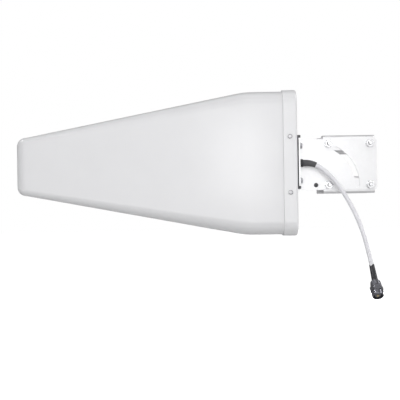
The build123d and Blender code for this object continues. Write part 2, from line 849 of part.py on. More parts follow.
def main():
    """Build every sub-part and save it."""
    os.makedirs("parts", exist_ok=True)
    write("radome_shell", make_radome())
    write("rear_cap", make_cap())
    write("cap_seal", make_cap_seal())
    write("cap_screws", make_cap_screws())
    write("near_dipole_comb", make_comb(-1))
    write("far_dipole_comb", make_comb(1))
    write("boom_spacers", make_spacers())
    write("boom_screws", make_boom_screws())
    write("boom_nuts", make_boom_nuts())
    write("boom_carrier", make_carrier())
    write("foam_pads", make_pads())
    write("flange_gasket", make_gasket())
    write("tilt_bracket", make_bracket())
    write("flange_bolts", make_flange_bolts())
    write("flange_washers", make_flange_washers())
    write("flange_nuts", make_flange_nuts())
    for side, place in ((-1, "near"), (1, "far")):
        for z, height in ((jaw_z, "upper"), (-jaw_z, "lower")):
            write(f"{place}_jaw_{height}", make_jaw(side, z))
    write("clamp_bolts", make_clamp_bolts())
    write("clamp_washers", make_clamp_washers())
    write("clamp_spring_washers", make_spring_washers())
    write("clamp_nuts", make_clamp_nuts())
    write("cable_gland", make_gland())
    write("gland_nut", make_gland_nut())
    path = cable_path()
    cable = make_cable(path)
    write("pigtail_cable", cable)
    write("gland_boot", make_gland_boot(path, cable))
    write("cable_ferrule", make_ferrule())
    write("feed_coax", make_feed_coax())
    write("coax_clips", make_clips())
    write("feed_link", make_link())
    frame = jack_frame(path)
    write("jack_boot", make_jack_boot(path, cable))
    write("jack_body", make_jack_body(frame))
    write("jack_insulator", make_insulator(frame))
    write("jack_contact", make_contact(frame))


if __name__ == "__main__":
    main()
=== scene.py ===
"""The looks of a directional panel antenna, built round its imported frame."""
from __future__ import annotations

import json
import logging
import math
from dataclasses import dataclass, field
from enum import Enum

import bmesh
import bpy
from mathutils import Matrix, Vector

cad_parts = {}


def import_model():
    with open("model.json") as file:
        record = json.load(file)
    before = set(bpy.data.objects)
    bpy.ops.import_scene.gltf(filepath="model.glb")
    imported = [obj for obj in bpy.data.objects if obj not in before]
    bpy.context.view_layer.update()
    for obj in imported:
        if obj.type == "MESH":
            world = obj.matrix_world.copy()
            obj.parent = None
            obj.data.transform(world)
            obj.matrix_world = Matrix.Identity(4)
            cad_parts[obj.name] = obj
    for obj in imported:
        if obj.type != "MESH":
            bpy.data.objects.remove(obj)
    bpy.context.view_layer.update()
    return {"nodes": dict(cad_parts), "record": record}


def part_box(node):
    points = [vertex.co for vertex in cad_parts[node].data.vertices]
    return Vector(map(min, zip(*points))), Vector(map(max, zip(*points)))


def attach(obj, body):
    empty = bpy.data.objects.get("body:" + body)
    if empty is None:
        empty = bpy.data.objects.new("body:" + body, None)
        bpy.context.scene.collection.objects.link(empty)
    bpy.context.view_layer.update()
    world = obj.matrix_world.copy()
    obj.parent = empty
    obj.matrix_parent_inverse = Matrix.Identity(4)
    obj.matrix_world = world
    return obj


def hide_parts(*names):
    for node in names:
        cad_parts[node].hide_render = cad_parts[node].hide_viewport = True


log = logging.getLogger("antenna")
MM = 0.001
PHOTO_SIDE = 400.0
SENSOR = 36.0
BODY = "root"
WHITE = (1.0, 1.0, 1.0, 1.0)
NOISE_LOW, NOISE_HIGH = 0.3, 0.7
EVEN_SHADE_WEIGHT = 60


class Effect(Enum):
    """The shared surface effects, by the name of the method that builds each one."""

    MOULDED_SKIN = "moulded_skin"
    ROLLED_SHEET = "rolled_sheet"
    TURNED_METAL = "turned_metal"


def vec(x: float, y: float, z: float) -> Vector:
    """A point given in millimetres, in metres."""
    return Vector((x, y, z)) * MM


# Camera, floor and light


@dataclass(frozen=True)
class Camera:
    """The photograph's camera, level and a little left of the clamp.

    Args:
        place: Where it stands, in millimetres.
        focal_pixels: Its focal length, in pixels of the photograph.
        roll_degrees: Its turn about its own line of sight.
    """

    place: tuple[float, float, float] = (-217.7, -1303.0, -49.1)
    focal_pixels: float = 868.0
    roll_degrees: float = -0.85

    def build(self) -> bpy.types.Object:
        """Make the camera and take it into use.

        Returns:
            The camera object.
        """
        data = bpy.data.cameras.new("camera")
        data.sensor_width = SENSOR
        data.lens = self.focal_pixels / PHOTO_SIDE * SENSOR
        data.clip_start, data.clip_end = 0.01, 50.0
        camera = bpy.data.objects.new("camera", data)
        level = Matrix.Rotation(math.radians(90.0), 4, "X")
        roll = Matrix.Rotation(math.radians(self.roll_degrees), 4, "Z")
        camera.matrix_world = Matrix.Translation(vec(*self.place)) @ level @ roll
        bpy.context.scene.collection.objects.link(camera)
        bpy.context.scene.camera = camera
        return camera


@dataclass(frozen=True)
class SoftBox:
    """An area light that faces a point of the object and isn't seen itself.

    Args:
        name: The light's name.
        place: Its middle, in metres.
        target: The point that it faces, in metres.
        size: Its width and height, in metres.
        power: Its power, in watts.
        lit: Whether it lights surfaces.
        mirrored: Whether glossy surfaces mirror it.
    """

    name: str
    place: tuple[float, float, float]
    target: tuple[float, float, float]
    size: tuple[float, float]
    power: float
    lit: bool = True
    mirrored: bool = True

    def build(self) -> None:
        """Make the light."""
        data = bpy.data.lights.new(self.name, "AREA")
        data.shape = "RECTANGLE"
        data.size, data.size_y = self.size
        data.energy = self.power
        light = bpy.data.objects.new(self.name, data)
        line = Vector(self.target) - Vector(self.place)
        turn = line.to_track_quat("-Z", "Y").to_matrix().to_4x4()
        light.matrix_world = Matrix.Translation(Vector(self.place)) @ turn
        light.visible_camera = False
        light.visible_diffuse = self.lit
        light.visible_glossy = self.mirrored
        bpy.context.scene.collection.objects.link(light)


@dataclass(frozen=True)
class Studio:
    """A plain pale floor, a white surround and soft boxes.

    Args:
        floor_z: Height of the floor, in metres.
        floor_reach: How far it reaches each way, in metres.
        floor_roughness: Its roughness.
        surround: Strength of the surround in front of the object.
        surround_dark: Its strength beside and behind the object.
        surround_seen: Its strength where the camera sees it.
        floor_glow: The floor's own light, where the camera sees it.
        floor_tone: Its tone, where the camera sees it.
        floor_dark: Its tone for what it lights and what mirrors it.
        front_from: How far forward a direction points where the front begins.
        front_full: How far forward it points where the strength is full.
        boxes: The soft boxes.
    """

    floor_z: float = -0.42
    floor_reach: float = 9.0
    floor_roughness: float = 0.9
    surround: float = 0.50
    surround_dark: float = 0.29
    surround_seen: float = 1.0
    floor_glow: float = 0.80
    floor_tone: float = 0.93
    floor_dark: float = 0.62
    front_from: float = 0.25
    front_full: float = 0.8
    boxes: tuple[SoftBox, ...] = (
        SoftBox("front_box", (-0.34, -2.2, 0.25), (-0.18, -0.05, 0.0), (1.9, 1.5), 13.5),
        SoftBox("glow_box", (-0.17, -2.0, 0.10), (-0.17, -0.09, 0.01), (0.40, 0.30), 2.2),
        SoftBox("strip_box", (-0.3, -1.35, 1.2), (-0.25, -0.09, 0.06), (1.8, 0.07), 5.0),
        SoftBox("top_box", (-0.3, -0.1, 1.6), (-0.25, -0.06, 0.0), (1.4, 0.8), 3.0),
        SoftBox("back_box", (-0.2, 2.1, 0.25), (-0.18, 0.0, 0.0), (1.8, 1.3), 30.0, mirrored=False),
        SoftBox("side_box", (1.9, -0.4, 0.2), (-0.05, 0.0, 0.0), (1.2, 1.2), 11.0, mirrored=False),
        SoftBox("left_box", (-1.36, -0.22, 1.28), (0.02, -0.13, -0.18), (0.36, 0.24), 6.0, lit=False),
        SoftBox("right_box", (1.42, 0.22, 1.14), (0.02, -0.13, -0.18), (0.36, 0.24), 6.0, lit=False),
    )

    def build(self) -> None:
        """Make the floor, the surround and the lights."""
        self.make_floor()
        self.make_surround()
        for box in self.boxes:
            box.build()
        bpy.context.scene.view_settings.view_transform = "Standard"

    def make_floor(self) -> None:
        """Lay the floor as one large plate."""
        mesh = bpy.data.meshes.new("floor")
        bm = bmesh.new()
        bmesh.ops.create_grid(bm, x_segments=1, y_segments=1, size=self.floor_reach)
        bmesh.ops.translate(bm, vec=(0.0, 0.0, self.floor_z), verts=bm.verts)
        bm.to_mesh(mesh)
        bm.free()
        floor = bpy.data.objects.new("floor", mesh)
        bpy.context.scene.collection.objects.link(floor)
        material = bpy.data.materials.new("floor")
        material.use_nodes = True
        shader = material.node_tree.nodes["Principled BSDF"]
        shader.inputs["Roughness"].default_value = self.floor_roughness
        board = Board(material.node_tree)
        seen = board.add("ShaderNodeLightPath").outputs["Is Camera Ray"]
        tones = [(tone, tone, tone, 1.0) for tone in (self.floor_dark, self.floor_tone)]
        board.feed(shader.inputs["Base Color"], board.blend(seen, *tones))
        glow = board.maths("MULTIPLY", seen, self.floor_glow)
        shader.inputs["Emission Color"].default_value = WHITE
        board.feed(shader.inputs["Emission Strength"], glow)
        mesh.materials.append(material)

    def make_surround(self) -> None:
        """Light the object mostly from the front half of the room, and show plain white."""
        world = bpy.data.worlds.new("surround")
        world.use_nodes = True
        board = Board(world.node_tree)
        way = board.add("ShaderNodeTexCoord").outputs["Generated"]
        along = board.add("ShaderNodeSeparateXYZ", {"Vector": way}).outputs["Y"]
        front = board.maths("MULTIPLY", along, -1.0)
        strength = board.spread(
            front, self.front_from, self.front_full, self.surround_dark, self.surround
        )
        light = world.node_tree.nodes["Background"]
        light.inputs["Color"].default_value = WHITE
        board.feed(light.inputs["Strength"], strength)
        seen = board.add("ShaderNodeBackground", {"Color": WHITE, "Strength": self.surround_seen})
        ray = board.add("ShaderNodeLightPath").outputs["Is Camera Ray"]
        mix = board.add("ShaderNodeMixShader", {0: ray, 1: light.outputs[0], 2: seen.outputs[0]})
        board.feed(world.node_tree.nodes["World Output"].inputs["Surface"], mix.outputs[0])
        bpy.context.scene.world = world


# Node groups that the finishes share


class Board:
    """Places nodes on one tree and wires them."""

    def __init__(self, tree: bpy.types.NodeTree) -> None:
        """Take the tree that the nodes go on.

        Args:
            tree: A material's node tree or a node group.
        """
        self.tree = tree

    def add(self, kind: str, inputs: dict | None = None, **settings) -> bpy.types.Node:
        """Add a node.

        Args:
            kind: The node's type name.
            inputs: Socket name or number to a value, or to a socket that feeds it.
            settings: Properties of the node.

        Returns:
            The new node.
        """
        node = self.tree.nodes.new(kind)
        for name, value in settings.items():
            setattr(node, name, value)
        for key, value in (inputs or {}).items():
            if isinstance(value, bpy.types.NodeSocket):
                self.tree.links.new(value, node.inputs[key])
            else:
                node.inputs[key].default_value = value
        return node

    def maths(
        self, operation: str, a: bpy.types.NodeSocket | float, b: bpy.types.NodeSocket | float
    ) -> bpy.types.NodeSocket:
        """The result of one calculation on two numbers or sockets."""
        return self.add("ShaderNodeMath", {0: a, 1: b}, operation=operation).outputs[0]

    def noise(
        self, where: bpy.types.NodeSocket, scale: float, detail: float, roughness: float
    ) -> bpy.types.NodeSocket:
        """A noise value from 0 to 1 over the surface."""
        sockets = {"Vector": where, "Scale": scale, "Detail": detail, "Roughness": roughness}
        return self.add("ShaderNodeTexNoise", sockets).outputs[0]

    def spread(
        self, value: bpy.types.NodeSocket, low: float, high: float, to_low: float, to_high: float
    ) -> bpy.types.NodeSocket:
        """A value moved from one range to another and held inside it."""
        sockets = {0: value, 1: low, 2: high, 3: to_low, 4: to_high}
        return self.add("ShaderNodeMapRange", sockets, clamp=True).outputs[0]

    def blend(self, factor, a, b) -> bpy.types.NodeSocket:
        """One colour faded into another."""
        node = self.add("ShaderNodeMix", data_type="RGBA")
        for socket, value in zip([s for s in node.inputs if s.type == "RGBA"], (a, b)):
            self.feed(socket, value)
        self.feed(node.inputs[0], factor)
        return [s for s in node.outputs if s.type == "RGBA"][0]

    def feed(self, socket: bpy.types.NodeSocket, value) -> None:
        """Link a socket, or set its value."""
        if isinstance(value, bpy.types.NodeSocket):
            self.tree.links.new(value, socket)
        else:
            socket.default_value = value


class NodeGroups:
    """Effects that more than one finish uses, each built once."""

    def __init__(self) -> None:
        """Start with no group built."""
        self.built: dict[Effect, bpy.types.NodeTree] = {}

    def get(self, effect: Effect) -> bpy.types.NodeTree:
        """The effect's group, built when it is first asked for.

        Args:
            effect: Which effect.

        Returns:
            The node group.
        """
        if effect not in self.built:
            self.built[effect] = getattr(self, effect.value)()
        return self.built[effect]

    @staticmethod
    def start(
        name: str, inputs: dict[str, float], outputs: tuple[str, ...]
    ) -> tuple[Board, bpy.types.Node, bpy.types.Node]:
        """Make an empty group with number inputs and outputs.

        Args:
            name: The group's name.
            inputs: Input names and their first values.
            outputs: Output names.

        Returns:
            The board, the group's input node and its output node.
        """
        tree = bpy.data.node_groups.new(name, "ShaderNodeTree")
        for label, value in inputs.items():
            socket = tree.interface.new_socket(label, in_out="INPUT", socket_type="NodeSocketFloat")
            socket.default_value = value
        for label in outputs:
            tree.interface.new_socket(label, in_out="OUTPUT", socket_type="NodeSocketFloat")
        board = Board(tree)
        return board, board.add("NodeGroupInput"), board.add("NodeGroupOutput")

    def moulded_skin(self) -> bpy.types.NodeTree:
        """Fine mould texture, slow sink waviness and a faint mottle of a plastic moulding."""
        board, given, result = self.start(
            "moulded_skin", {"Grain": 1.0, "Wave": 1.0, "Mottle": 1.0}, ("Height", "Shade", "Dullness")
        )
        pit_share, grain_height = 0.5, 0.03
        where = board.add("ShaderNodeTexCoord").outputs["Object"]
        fine = board.noise(where, scale=2600.0, detail=3.0, roughness=0.6)
        pits = board.add("ShaderNodeTexVoronoi", {"Vector": where, "Scale": 1500.0}).outputs["Distance"]
        wave = board.noise(where, scale=9.0, detail=1.0, roughness=0.4)
        cloud = board.noise(where, scale=26.0, detail=4.0, roughness=0.55)
        rough = board.maths("ADD", fine, board.maths("MULTIPLY", pits, pit_share))
        grain = board.maths("MULTIPLY", rough, grain_height)
        grain = board.maths("MULTIPLY", grain, given.outputs["Grain"])
        slow = board.maths("MULTIPLY", wave, given.outputs["Wave"])
        board.feed(result.inputs["Height"], board.maths("ADD", grain, slow))
        patches = board.spread(cloud, NOISE_LOW, NOISE_HIGH, 0.0, 1.0)
        mottle = board.maths("MULTIPLY", patches, given.outputs["Mottle"])
        board.feed(result.inputs["Shade"], mottle)
        dull = board.noise(where, scale=70.0, detail=5.0, roughness=0.65)
        board.feed(result.inputs["Dullness"], board.spread(dull, NOISE_LOW, NOISE_HIGH, -1.0, 1.0))
        return board.tree

    def rolled_sheet(self) -> bpy.types.NodeTree:
        """Fine lines along the rolling direction, cloudy plating and small spangles of plated sheet."""
        board, given, result = self.start(
            "rolled_sheet", {"Lines": 1.0, "Spangle": 1.0}, ("Height", "Shade", "Dullness")
        )
        along_roll, cloud_share = (30.0, 900.0, 2400.0), 0.6
        where = board.add("ShaderNodeTexCoord").outputs["Object"]
        stretched = board.add("ShaderNodeMapping", {"Vector": where, "Scale": along_roll}).outputs[0]
        lines = board.noise(stretched, scale=1.0, detail=3.0, roughness=0.7)
        cells = board.add("ShaderNodeTexVoronoi", {"Vector": where, "Scale": 240.0}).outputs["Color"]
        tone = board.add("ShaderNodeRGBToBW", {"Color": cells}).outputs[0]
        cloud = board.noise(where, scale=45.0, detail=4.0, roughness=0.6)
        height = board.maths("MULTIPLY", lines, given.outputs["Lines"])
        plating = board.maths("MULTIPLY", cloud, cloud_share)
        board.feed(result.inputs["Height"], board.maths("ADD", height, plating))
        patch = board.maths("MULTIPLY", tone, given.outputs["Spangle"])
        board.feed(result.inputs["Shade"], board.maths("ADD", plating, patch))
        board.feed(result.inputs["Dullness"], board.spread(lines, NOISE_LOW, NOISE_HIGH, -1.0, 1.0))
        return board.tree

    def turned_metal(self) -> bpy.types.NodeTree:
        """Tool marks and plating mottle of small turned and pressed hardware."""
        board, given, result = self.start(
            "turned_metal", {"Marks": 1.0, "Mottle": 1.0}, ("Height", "Shade", "Dullness")
        )
        mark_share, dent_share = 0.15, 0.8
        where = board.add("ShaderNodeTexCoord").outputs["Object"]
        marks = board.noise(where, scale=1800.0, detail=2.0, roughness=0.5)
        dents = board.noise(where, scale=320.0, detail=3.0, roughness=0.6)
        cloud = board.noise(where, scale=150.0, detail=4.0, roughness=0.6)
        marks = board.maths("MULTIPLY", marks, mark_share)
        height = board.maths("ADD", marks, board.maths("MULTIPLY", dents, dent_share))
        board.feed(result.inputs["Height"], board.maths("MULTIPLY", height, given.outputs["Marks"]))
        board.feed(result.inputs["Shade"], board.maths("MULTIPLY", cloud, given.outputs["Mottle"]))
        board.feed(result.inputs["Dullness"], board.spread(cloud, NOISE_LOW, NOISE_HIGH, -1.0, 1.0))
        return board.tree


@dataclass(frozen=True)
class Finish:
    """One surface finish: two tones that a shared effect blends, its gloss and its relief.

    Args:
        slot: The material slot that it fills.
        effect: The shared effect.
        amounts: The effect's inputs.
        light: The tone where the effect's shade is low.
        dark: The tone where it is high.
        metallic: How metallic it is.
        roughness: Its mean roughness.
        roughness_spread: How far the roughness strays from the mean.
        relief: Strength of the relief.
        relief_mm: Height of the relief, in millimetres.
        coat: Weight of the clear coat.
        coat_roughness: Roughness of the clear coat.
    """

    slot: str
    effect: Effect
    amounts: dict[str, float]
    light: tuple[float, float, float]
    dark: tuple[float, float, float]
    metallic: float = 0.0
    roughness: float = 0.4
    roughness_spread: float = 0.05
    relief: float = 0.1
    relief_mm: float = 0.05
    coat: float = 0.0
    coat_roughness: float = 0.1

    def build(self, groups: NodeGroups) -> bpy.types.Material:
        """Make the material.

        Args:
            groups: The shared effects.

        Returns:
            The material, named after its slot.
        """
        material = bpy.data.materials.new(self.slot)
        material.use_nodes = True
        board = Board(material.node_tree)
        shader = material.node_tree.nodes["Principled BSDF"]
        effect = board.add("ShaderNodeGroup", node_tree=groups.get(self.effect))
        for label, amount in self.amounts.items():
            effect.inputs[label].default_value = amount
        tone = board.blend(effect.outputs["Shade"], (*self.light, 1.0), (*self.dark, 1.0))
        board.feed(shader.inputs["Base Color"], tone)
        change = board.maths("MULTIPLY", effect.outputs["Dullness"], self.roughness_spread)
        board.feed(shader.inputs["Roughness"], board.maths("ADD", change, self.roughness))
        bump = board.add("ShaderNodeBump", {
            "Strength": self.relief,
            "Distance": self.relief_mm * MM,
            "Height": effect.outputs["Height"],
        })
        board.feed(shader.inputs["Normal"], bump.outputs["Normal"])
        shader.inputs["Metallic"].default_value = self.metallic
        shader.inputs["Coat Weight"].default_value = self.coat
        shader.inputs["Coat Roughness"].default_value = self.coat_roughness
        return material


MOULD = {"Grain": 1.0, "Wave": 0.6, "Mottle": 0.5}
HARD = {"Marks": 1.0, "Mottle": 1.0}
FINISHES = (
    Finish("radome_plastic", Effect.MOULDED_SKIN, MOULD, (0.80, 0.80, 0.815), (0.77, 0.77, 0.785),
           roughness=0.34, relief=0.25, relief_mm=0.25, coat=0.5, coat_roughness=0.14),
    # painted highlight: the cap's plastic is given a lighter tone than the radome's same plastic,
    # standing in for the light on its rear band
    Finish("cap_plastic", Effect.MOULDED_SKIN, MOULD, (0.83, 0.83, 0.845), (0.80, 0.80, 0.815),
           roughness=0.34, relief=0.25, relief_mm=0.25, coat=0.5, coat_roughness=0.14),
    Finish("black_rubber", Effect.MOULDED_SKIN, {"Grain": 2.0, "Wave": 0.2, "Mottle": 1.0},
           (0.075, 0.075, 0.08), (0.10, 0.10, 0.105), roughness=0.6, relief=0.4, relief_mm=0.15),
    Finish("stainless_screws", Effect.TURNED_METAL, HARD, (0.40, 0.40, 0.41), (0.32, 0.32, 0.33),
           metallic=1.0, roughness=0.30, relief=0.2),
    Finish("zinc_sheet", Effect.ROLLED_SHEET, {"Lines": 1.0, "Spangle": 0.35}, (0.81, 0.81, 0.82),
           (0.75, 0.75, 0.76), metallic=0.55, roughness=0.36, roughness_spread=0.08, relief=0.15,
           relief_mm=0.03),
    Finish("zinc_hardware", Effect.TURNED_METAL, HARD, (0.68, 0.68, 0.69), (0.56, 0.56, 0.575),
           metallic=1.0, roughness=0.18, relief=0.2),
    Finish("flange_hardware", Effect.TURNED_METAL, HARD, (0.62, 0.62, 0.65), (0.5, 0.5, 0.53),
           metallic=0.8, roughness=0.35, relief=0.3),
    Finish("comb_aluminium", Effect.ROLLED_SHEET, {"Lines": 1.0, "Spangle": 0.2}, (0.78, 0.79, 0.80),
           (0.66, 0.67, 0.69), metallic=1.0, roughness=0.34, relief=0.2, relief_mm=0.03),
    Finish("nylon", Effect.MOULDED_SKIN, MOULD, (0.80, 0.79, 0.73), (0.74, 0.73, 0.66),
           roughness=0.45),
    Finish("carrier_plastic", Effect.MOULDED_SKIN, MOULD, (0.26, 0.27, 0.28), (0.2, 0.21, 0.22),
           roughness=0.5),
    Finish("foam", Effect.MOULDED_SKIN, {"Grain": 6.0, "Wave": 1.0, "Mottle": 1.0},
           (0.09, 0.09, 0.1), (0.05, 0.05, 0.055), roughness=0.9, relief=0.6),
    Finish("coax_jacket", Effect.MOULDED_SKIN, MOULD, (0.34, 0.15, 0.07), (0.26, 0.11, 0.05),
           roughness=0.3),
    Finish("brass", Effect.TURNED_METAL, HARD, (0.83, 0.62, 0.28), (0.66, 0.46, 0.18),
           metallic=1.0, roughness=0.25),
    Finish("gland_plastic", Effect.MOULDED_SKIN, MOULD, (0.03, 0.03, 0.034), (0.045, 0.045, 0.05),
           roughness=0.42),
    Finish("cable_jacket", Effect.MOULDED_SKIN, {"Grain": 0.6, "Wave": 0.3, "Mottle": 0.7},
           (0.86, 0.855, 0.89), (0.80, 0.795, 0.83), roughness=0.34, relief=0.15),
    Finish("sleeve_black", Effect.MOULDED_SKIN, {"Grain": 1.0, "Wave": 2.0, "Mottle": 1.0},
           (0.02, 0.02, 0.024), (0.035, 0.035, 0.04), roughness=0.45, relief=0.3, relief_mm=0.2),
    Finish("jack_plating", Effect.TURNED_METAL, {"Marks": 0.3, "Mottle": 0.8}, (0.21, 0.21, 0.235),
           (0.17, 0.17, 0.19), metallic=0.85, roughness=0.28, roughness_spread=0.02, relief=0.02),
    # painted shade: the insulator is coloured dark grey to stand for the shade inside the jack's socket
    Finish("insulator_plastic", Effect.MOULDED_SKIN, MOULD, (0.10, 0.10, 0.115), (0.13, 0.13, 0.14),
           roughness=0.35),
    Finish("gilt_contact", Effect.TURNED_METAL, HARD, (0.98, 0.84, 0.52), (0.86, 0.70, 0.40),
           metallic=1.0, roughness=0.2),
)


class Paint:
    """Keeps the finished materials and puts them on pieces."""

    def __init__(self, record: dict) -> None:
        """Build every finish.

        Args:
            record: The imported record, which says each node's slot.
        """
        groups = NodeGroups()
        self.materials = {finish.slot: finish.build(groups) for finish in FINISHES}
        self.slots = {part["node"]: part["material_slot"] for part in record["subparts"]}

    def dress_node(self, node: bpy.types.Object, name: str) -> None:
        """Give a carried-over node its finish."""
        material = self.materials[self.slots[name]]
        if not node.material_slots:
            node.data.materials.append(material)
        for holder in node.material_slots:
            holder.material = material

    def dress_piece(self, piece: bpy.types.Object, like: str) -> None:
        """Give a new piece the finish of the node that it stands for.

        Args:
            piece: The new piece.
            like: The node's name.
        """
        piece.data.materials.clear()
        piece.data.materials.append(self.materials[self.slots[like]])
        if piece.type == "MESH":
            for face in piece.data.polygons:
                face.material_index = 0


@dataclass
class Workshop:
    """The frame and the finishes, as each sub-assembly needs them."""

    nodes: dict[str, bpy.types.Object]
    paint: Paint
    made: list[bpy.types.Object] = field(default_factory=list)

    def hand_over(
        self, piece: bpy.types.Object, *replaced: str, like: str | None = None
    ) -> bpy.types.Object:
        """Finish a piece: dress it, seat it on the body and hide what it stands for.

        Args:
            piece: The piece, already linked to the scene.
            replaced: The nodes that it stands for.
            like: The node whose finish it takes, if it isn't the first replaced one.

        Returns:
            The same piece.
        """
        self.paint.dress_piece(piece, like or replaced[0])
        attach(piece, BODY)
        if replaced:
            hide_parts(*replaced)
        self.made.append(piece)
        log.info("%s stands for %s", piece.name, ", ".join(replaced) or "detail")
        return piece


def new_piece(
    name: str, bm: bmesh.types.BMesh, smooth_degrees: float, even: bool = False
) -> bpy.types.Object:
    """Turn a bmesh into a linked object, smooth except at sharp edges.

    Args:
        name: The piece's name.
        bm: The shape, which is freed.
        smooth_degrees: Edges that bend more than this stay sharp.
        even: Whether large flat faces keep an even shade beside their rounded edges.

    Returns:
        The object.
    """
    limit = math.radians(smooth_degrees)
    for face in bm.faces:
        face.smooth = True
    for edge in bm.edges:
        edge.smooth = len(edge.link_faces) == 2 and edge.calc_face_angle(0.0) < limit
    mesh = bpy.data.meshes.new(name)
    bm.to_mesh(mesh)
    bm.free()
    piece = bpy.data.objects.new(name, mesh)
    bpy.context.scene.collection.objects.link(piece)
    if even:
        weights = piece.modifiers.new("even_shade", "WEIGHTED_NORMAL")
        weights.mode, weights.weight = "FACE_AREA", EVEN_SHADE_WEIGHT
        weights.keep_sharp = True
    return piece


def round_edges(
    bm: bmesh.types.BMesh, edges: list[bmesh.types.BMEdge], size: float, segments: int
) -> None:
    """Round some edges of a shape.

    Args:
        bm: The shape.
        edges: The edges.
        size: How far each one is rounded, in millimetres.
        segments: Facets across each round.
    """
    bmesh.ops.bevel(
        bm, geom=edges, offset=size * MM, offset_type="OFFSET", segments=segments, profile=0.5,
        affect="EDGES", clamp_overlap=True, material=-1,
    )


# Cable


@dataclass
class Pigtail:
    """The light grey cable from inside the gland to the back of the jack."""

    diameter: float = 6.1
    length: float = 228.2
    route: tuple[tuple[float, float, float], ...] = (
        (-78.0, -62.0, 1.5),
        (-55.0, -62.0, 1.5),
        (-36.0, -62.8, -11.5),
        (-19.0, -64.3, -31.0),
        (-3.0, -66.0, -58.0),
        (10.2, -71.3, -88.7),
        (18.1, -91.0, -129.8),
        (19.0, -122.0, -164.2),
    )

    def build(self, shop: Workshop, on_cable: list[bpy.types.Object]) -> bpy.types.Object:
        """Make the cable as one smooth spline.

        Args:
            shop: The frame and the finishes.
            on_cable: The pieces on the cable's end; not used.

        Returns:
            The cable.
        """
        curve = bpy.data.curves.new("pigtail", "CURVE")
        curve.dimensions = "3D"
        curve.bevel_depth = self.diameter / 2 * MM
        curve.bevel_resolution = 6
        curve.resolution_u = 24
        curve.use_fill_caps = True
        spline = curve.splines.new("NURBS")
        spline.points.add(len(self.route) - 1)
        for point, place in zip(spline.points, self.route):
            point.co = (*vec(*place), 1.0)
        spline.order_u = 3
        spline.use_endpoint_u = True
        cable = bpy.data.objects.new("pigtail", curve)
        bpy.context.scene.collection.objects.link(cable)
        shop.hand_over(cable, "pigtail_cable")
        return cable


# Softened copies of folded and moulded nodes


@dataclass(frozen=True)
class Softened:
    """A copy of a node whose sharp edges are rounded, so that they catch the light.

    Args:
        node: The node's name.
        edge_mm: How far each edge is rounded, in millimetres.
        sharp_degrees: Edges that bend more than this are rounded.
        segments: Facets across each round.
        merge_mm: Corners closer than this become one, in millimetres.
        flat_degrees: Seams that bend less than this are cleared.
        smooth_degrees: Edges that still bend more than this stay sharp.
    """

    node: str
    edge_mm: float
    sharp_degrees: float = 35.0
    segments: int = 2
    merge_mm: float = 0.002
    flat_degrees: float = 0.8
    smooth_degrees: float = 50.0

    def build(self, shop: Workshop) -> bpy.types.Object:
        """Copy the node's mesh, merge it, clear flat seams and round its sharp edges.

        Args:
            shop: The frame and the finishes.

        Returns:
            The piece that stands for the node.
        """
        bm = bmesh.new()
        bm.from_mesh(shop.nodes[self.node].data)
        bmesh.ops.remove_doubles(bm, verts=bm.verts, dist=self.merge_mm * MM)
        bmesh.ops.dissolve_limit(
            bm, angle_limit=math.radians(self.flat_degrees), use_dissolve_boundaries=False,
            verts=bm.verts, edges=bm.edges, delimit=set(),
        )
        limit = math.radians(self.sharp_degrees)
        sharp = [
            edge for edge in bm.edges
            if len(edge.link_faces) == 2 and edge.calc_face_angle(0.0) > limit
        ]
        round_edges(bm, sharp, self.edge_mm, self.segments)
        piece = new_piece(self.node + "_softened", bm, self.smooth_degrees, even=True)
        return shop.hand_over(piece, self.node)


# Threads


@dataclass(frozen=True)
class Thread:
    """A rolled thread about Z: a zigzag profile spun once round with one pitch of rise.

    Args:
        outer_d: Diameter over the crests, in millimetres.
        pitch: Its pitch, in millimetres.
        depth: Depth of its grooves, in millimetres.
        start: Height of its lower end, in millimetres.
        end: Height of its upper end, in millimetres.
        steps: Steps of a full turn.
        merge_mm: Corners closer than this become one, in millimetres.
    """

    outer_d: float
    pitch: float
    depth: float
    start: float
    end: float
    steps: int = 24
    merge_mm: float = 0.01

    def cut(self, bm: bmesh.types.BMesh, lead_in: float) -> None:
        """Add the thread along +Z from start to end, closed at both ends.

        Args:
            bm: The bmesh that takes the thread.
            lead_in: Height of the cone at each end, in millimetres.
        """
        made = bmesh.new()
        spare_turns, spare_below = 3, 1.5
        turns = int(math.ceil((self.end - self.start) / self.pitch)) + spare_turns
        low = self.start - spare_below * self.pitch
        outer, inner = self.outer_d / 2, self.outer_d / 2 - self.depth
        profile = ((0.0, inner), (0.38, outer), (0.56, outer), (0.94, inner))
        last = None
        for turn in range(turns):
            for share, radius in profile:
                vert = made.verts.new(vec(radius, 0.0, low + (turn + share) * self.pitch))
                if last is not None:
                    made.edges.new((last, vert))
                last = vert
        vert = made.verts.new(vec(inner, 0.0, low + turns * self.pitch))
        made.edges.new((last, vert))
        bmesh.ops.spin(
            made, geom=made.verts[:] + made.edges[:], cent=(0.0, 0.0, 0.0), axis=(0.0, 0.0, 1.0),
            dvec=(0.0, 0.0, self.pitch * MM / self.steps), angle=2 * math.pi, steps=self.steps,
            use_merge=False, use_duplicate=False,
        )
        bmesh.ops.remove_doubles(made, verts=made.verts, dist=self.merge_mm * MM)
        for height, outwards in ((self.start, -1.0), (self.end, 1.0)):
            bmesh.ops.bisect_plane(
                made, geom=made.verts[:] + made.edges[:] + made.faces[:],
                plane_co=(0.0, 0.0, height * MM), plane_no=(0.0, 0.0, outwards), clear_outer=True,
            )
        rim = [edge for edge in made.edges if edge.is_boundary]
        bmesh.ops.holes_fill(made, edges=rim, sides=0)
        for vert in made.verts:
            inside = min(vert.co.z - self.start * MM, self.end * MM - vert.co.z)
            reach = math.hypot(vert.co.x, vert.co.y)
            allowed = (self.outer_d / 2 - lead_in) * MM + max(inside, 0.0)
            if reach > allowed:
                vert.co.x *= allowed / reach
                vert.co.y *= allowed / reach
        bmesh.ops.recalc_face_normals(made, faces=made.faces)
        merge_into(bm, made)


